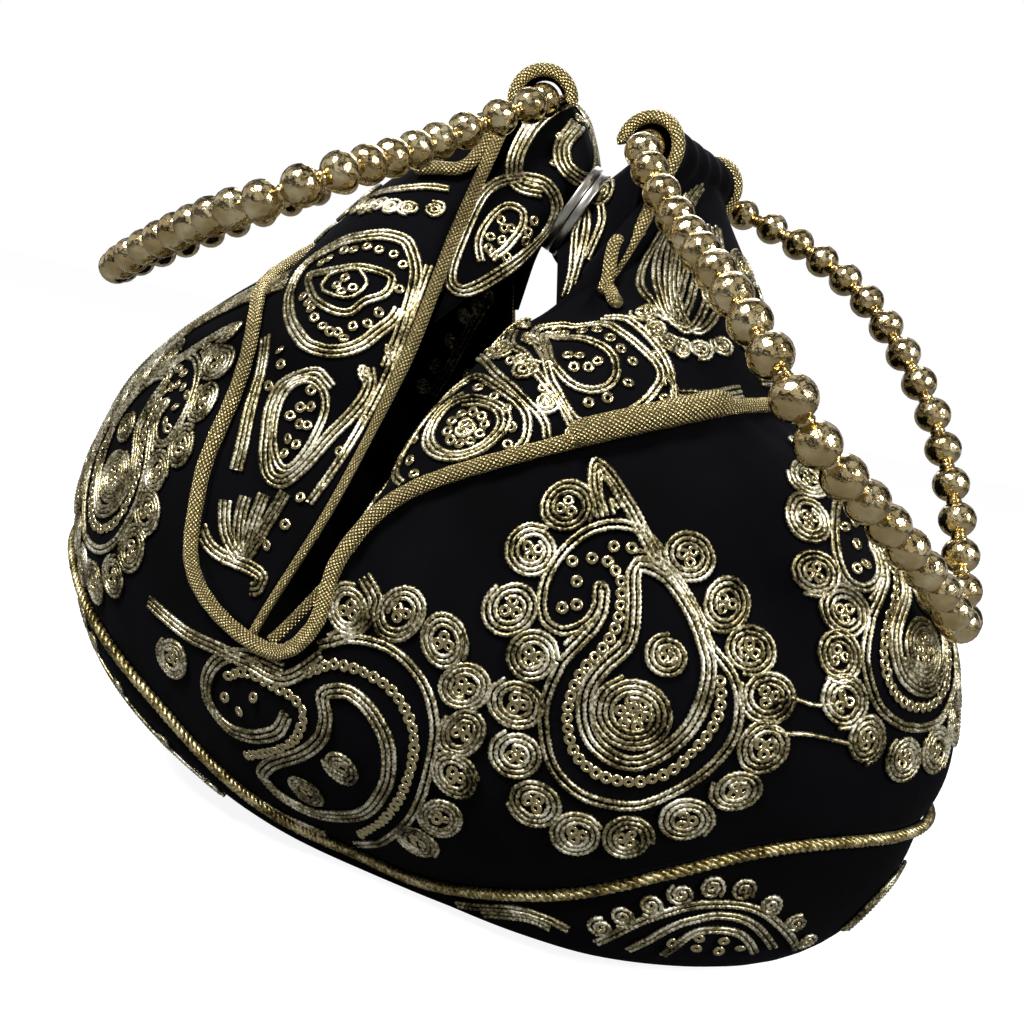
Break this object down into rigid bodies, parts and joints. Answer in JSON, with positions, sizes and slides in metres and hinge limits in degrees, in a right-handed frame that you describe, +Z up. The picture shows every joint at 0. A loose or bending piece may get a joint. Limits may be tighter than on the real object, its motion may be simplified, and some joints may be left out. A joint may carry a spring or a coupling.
{
  "type": "beaded-handle potli bag",
  "caption": "Soft velvet evening bag in the potli shape with couched metal-cord motifs, gold piping, bead handles and a magnetic snap.",
  "frame": {"origin": "on the flat foot, under the middle of the sack's oval", "axes": "+X from the left yoke to the right yoke, +Y from the front slit to the back slit, +Z up"},
  "size_m": [0.2272, 0.145, 0.1965],
  "materials": {
    "velvet": "pile velvet",
    "satin_lining": "satin",
    "board": "matte",
    "gold_cord": "metallic thread",
    "gold_bead": "polished",
    "nickel_steel": "polished"
  },
  "bodies": {
    "bag": {"base_panel": "velvet", "base_board": "board", "body_wall": "velvet", "lining": "satin_lining", "base_piping": "gold_cord", "rim_piping": "gold_cord", "yoke_left": "velvet", "yoke_right": "velvet", "braid_left_front": "gold_cord", "braid_left_back": "gold_cord", "braid_right_front": "gold_cord", "braid_right_back": "gold_cord", "snap_stud": "nickel_steel", "snap_socket": "nickel_steel", "snap_washer_left": "nickel_steel", "snap_washer_right": "nickel_steel", "motif_front": "gold_cord", "motif_front_left": "gold_cord", "motif_right_front": "gold_cord", "motif_left_front": "gold_cord", "motif_right_back": "gold_cord", "motif_back": "gold_cord", "motif_back_left": "gold_cord", "motif_left_back": "gold_cord"},
    "handle_left": {"handle_left": "gold_bead"},
    "handle_right": {"handle_right": "gold_bead"}
  },
  "joints": [
    {"name": "handle_left_swing", "type": "hinge", "parent": "bag", "child": "handle_left", "pos_m": [-0.009, -0.01, 0.179], "axis": [-0.3509, 0.9124, 0.2106], "range_deg": [0, 115]},
    {"name": "handle_right_swing", "type": "hinge", "parent": "bag", "child": "handle_right", "pos_m": [0.019, -0.012, 0.172], "axis": [-0.1103, -0.9929, -0.0441], "range_deg": [0, 120]}
  ]
}
